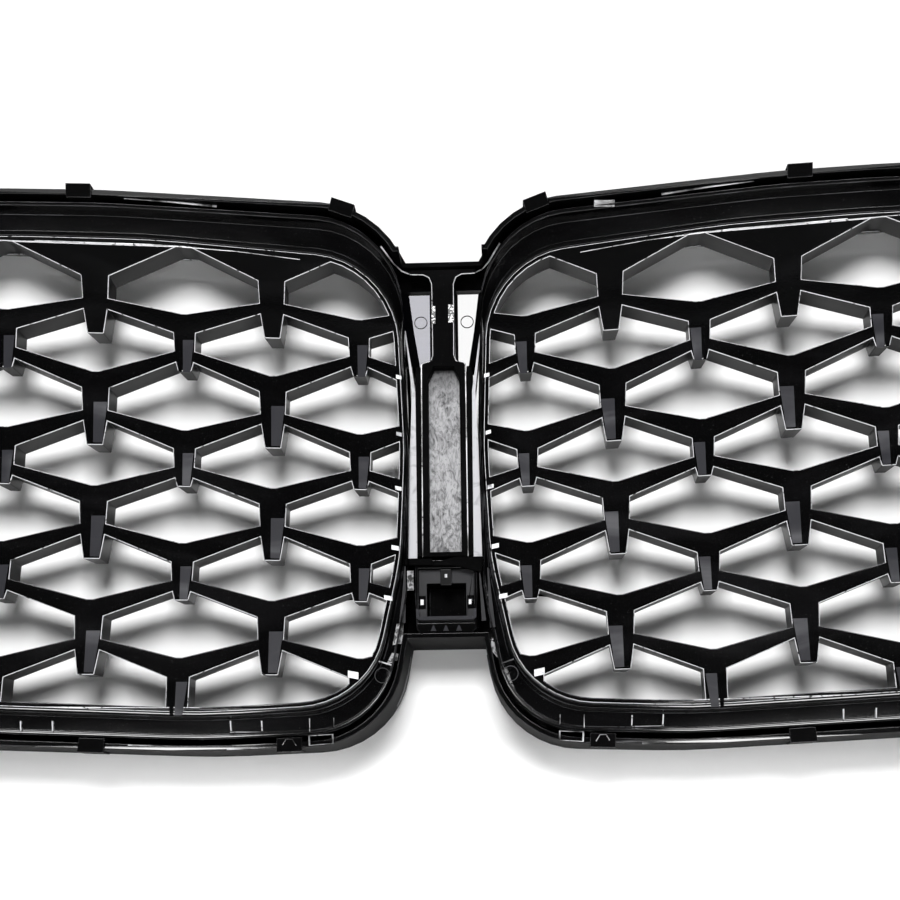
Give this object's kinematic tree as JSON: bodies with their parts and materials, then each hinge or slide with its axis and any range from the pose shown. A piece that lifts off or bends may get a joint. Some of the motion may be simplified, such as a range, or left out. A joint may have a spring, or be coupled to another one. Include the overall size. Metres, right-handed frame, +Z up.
{
  "type": "front grille",
  "caption": "Twin-opening front grille with a diamond lattice in each opening, a centre bridge, a camera housing and spring clips on its skirt.",
  "frame": {"origin": "on the flat floor of the centre strip channel, on the centre line", "axes": "+Z up as fitted, the front of the grille faces -Y, +X is the left of the vehicle"},
  "size_m": [0.7552, 0.1148, 0.2307],
  "materials": {
    "gloss_black": "piano black, with flow marks and bright edges on the rear",
    "satin_black": "satin",
    "spring_steel": "black coated spring steel"
  },
  "bodies": {
    "body": {"front_trim": "gloss_black", "carrier_left": "gloss_black", "carrier_right": "gloss_black", "mesh_insert_left": "gloss_black", "mesh_insert_right": "gloss_black", "centre_carrier": "gloss_black", "centre_strip": "gloss_black", "camera_bracket": "satin_black", "trim_clip_top_left_1": "spring_steel", "trim_clip_top_left_2": "spring_steel", "trim_clip_top_left_3": "spring_steel", "trim_clip_top_left_4": "spring_steel", "trim_clip_bottom_left_1": "spring_steel", "trim_clip_bottom_left_2": "spring_steel", "trim_clip_bottom_left_3": "spring_steel", "trim_clip_top_right_1": "spring_steel", "trim_clip_top_right_2": "spring_steel", "trim_clip_top_right_3": "spring_steel", "trim_clip_top_right_4": "spring_steel", "trim_clip_bottom_right_1": "spring_steel", "trim_clip_bottom_right_2": "spring_steel", "trim_clip_bottom_right_3": "spring_steel"},
    "cover": {"camera_cover": "gloss_black"},
    "latch": {"release_latch": "satin_black"}
  },
  "joints": [
    {"name": "cover_pull", "type": "slide", "parent": "body", "child": "cover", "axis": [0, -1, 0], "range_m": [0, 0.03]},
    {"name": "latch_flex", "type": "hinge", "parent": "body", "child": "latch", "pos_m": [0, 0.0036, -0.0516], "axis": [1, 0, 0], "range_deg": [0, 12], "stiffness_Nm_per_rad": 0.05}
  ]
}
